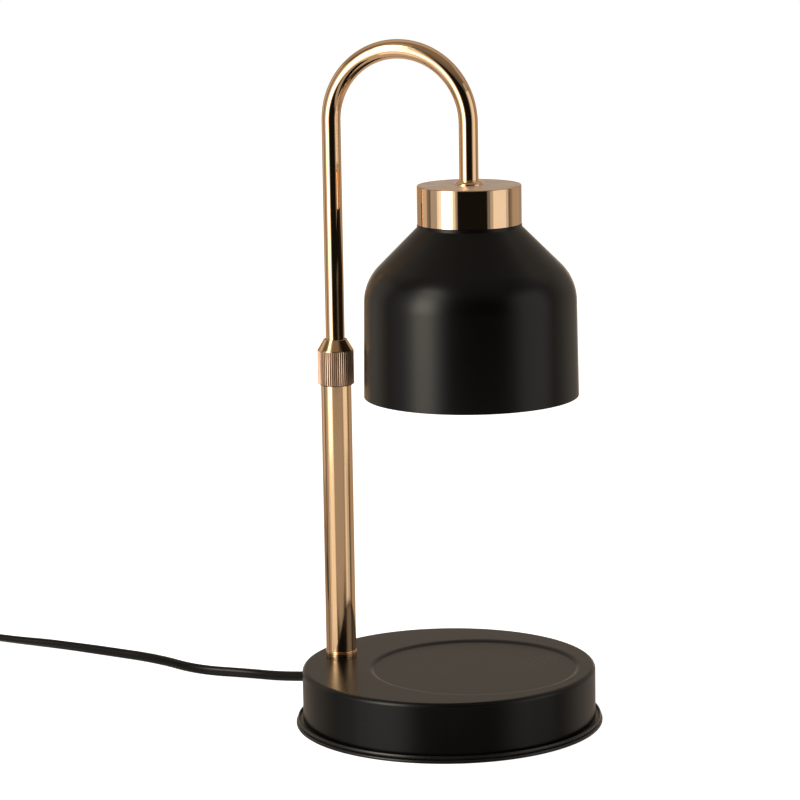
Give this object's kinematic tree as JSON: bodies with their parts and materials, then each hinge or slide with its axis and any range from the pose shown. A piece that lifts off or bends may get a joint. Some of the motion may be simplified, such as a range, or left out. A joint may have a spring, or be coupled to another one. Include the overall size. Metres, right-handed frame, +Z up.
{
  "type": "candle warmer lamp",
  "caption": "Table lamp that melts a candle from above: weighted round base with a shallow dish, telescopic mast with a clamp nut, bent swivel arm, bell shade, twist-lock bulb, corded dimmer.",
  "frame": {"origin": "on the table, under the centre of the round base", "axes": "+Z up, +X from the mast towards the shade; the cord and what is on it lie on the table on the -X side"},
  "size_m": [0.5253, 0.1608, 0.323],
  "materials": {
    "black_enamel": "satin black paint",
    "black_rubber": "soft black moulding",
    "black_foam": "non-slip foam",
    "rose_gold": "polished, plated rose gold",
    "knurled_brass": "straight-knurled grip and polished cone",
    "plain_brass": "turned",
    "zinc_steel": "zinc plated",
    "cast_iron": "as cast, painted",
    "white_nylon": "moulded",
    "cream_ceramic": "pressed, unglazed",
    "mirror_glass": "pressed glass with a reflecting film",
    "clear_glass": "clear, polished",
    "lead_sleeve": "heat-proof braided sleeve",
    "crimp_cap": "crimped caps",
    "cord_black": "smooth black sheath",
    "black_plastic": "fine moulded texture",
    "board_green": "circuit board",
    "grey_plastic": "moulded",
    "nickel": "nickel plated"
  },
  "bodies": {
    "base": {"base_housing": "black_enamel", "base_rim_trim": "black_rubber", "base_plate": "zinc_steel", "base_pad": "black_foam", "base_counterweight": "cast_iron", "base_standoffs": "zinc_steel", "base_screws": "zinc_steel", "pole_foot": "rose_gold", "pole_nipple": "zinc_steel", "pole_washer": "zinc_steel", "pole_nut": "zinc_steel", "lower_pole": "rose_gold", "clamp_bush": "plain_brass", "clamp_collet": "white_nylon", "clamp_ring": "plain_brass", "pole_leads": "lead_sleeve", "wire_joints": "crimp_cap", "cord_inner": "cord_black", "cord_boot": "black_rubber", "cord_clamp": "white_nylon", "cord_clamp_screw": "zinc_steel", "dimmer_base": "black_plastic", "dimmer_cover": "black_plastic", "dimmer_board": "board_green", "dimmer_potentiometer": "grey_plastic", "dimmer_screws": "zinc_steel", "dimmer_boots": "black_rubber", "dimmer_wires": "lead_sleeve", "cord_run": "cord_black", "cord_tail": "cord_black", "cord_coil": "cord_black", "cord_end": "cord_black", "plug_body": "black_plastic", "plug_pins": "nickel"},
    "clamp_nut": {"clamp_nut": "knurled_brass"},
    "guide": {"guide_bush": "white_nylon"},
    "arm": {"guide_clips": "zinc_steel", "arm_tube": "rose_gold", "arm_ferrule": "rose_gold", "arm_end_nut": "zinc_steel", "arm_end_washer": "zinc_steel", "socket_cap": "rose_gold", "shade_bracket": "zinc_steel", "shade": "black_enamel", "lampholder": "cream_ceramic", "lampholder_screws": "zinc_steel", "lamp_leads": "lead_sleeve"},
    "bulb": {"bulb_base": "cream_ceramic", "bulb_pins": "plain_brass", "bulb_reflector": "mirror_glass", "bulb_lens": "clear_glass", "bulb_capsule": "clear_glass"},
    "dimmer_wheel": {"dimmer_wheel": "black_plastic"}
  },
  "joints": [
    {"name": "arm_height", "type": "slide", "parent": "base", "child": "guide", "axis": [0, 0, 1], "range_m": [-0.082, 0.008], "deforming": ["pole_leads"]},
    {"name": "arm_swivel", "type": "hinge", "parent": "guide", "child": "arm", "pos_m": [-0.0545, 0, 0.135], "axis": [0, 0, 1], "range_deg": [-175, 175]},
    {"name": "nut_turn", "type": "hinge", "parent": "base", "child": "clamp_nut", "pos_m": [-0.0545, 0, 0.169], "axis": [0, 0, 1], "range_deg": [0, 300]},
    {"name": "bulb_twist", "type": "hinge", "parent": "arm", "child": "bulb", "pos_m": [0.013, 0, 0.224], "axis": [0, 0, -1], "range_deg": [0, 30]},
    {"name": "dimmer_turn", "type": "hinge", "parent": "base", "child": "dimmer_wheel", "pos_m": [-0.357, 0.072, 0.022], "axis": [0, 0, -1], "range_deg": [0, 270]}
  ]
}
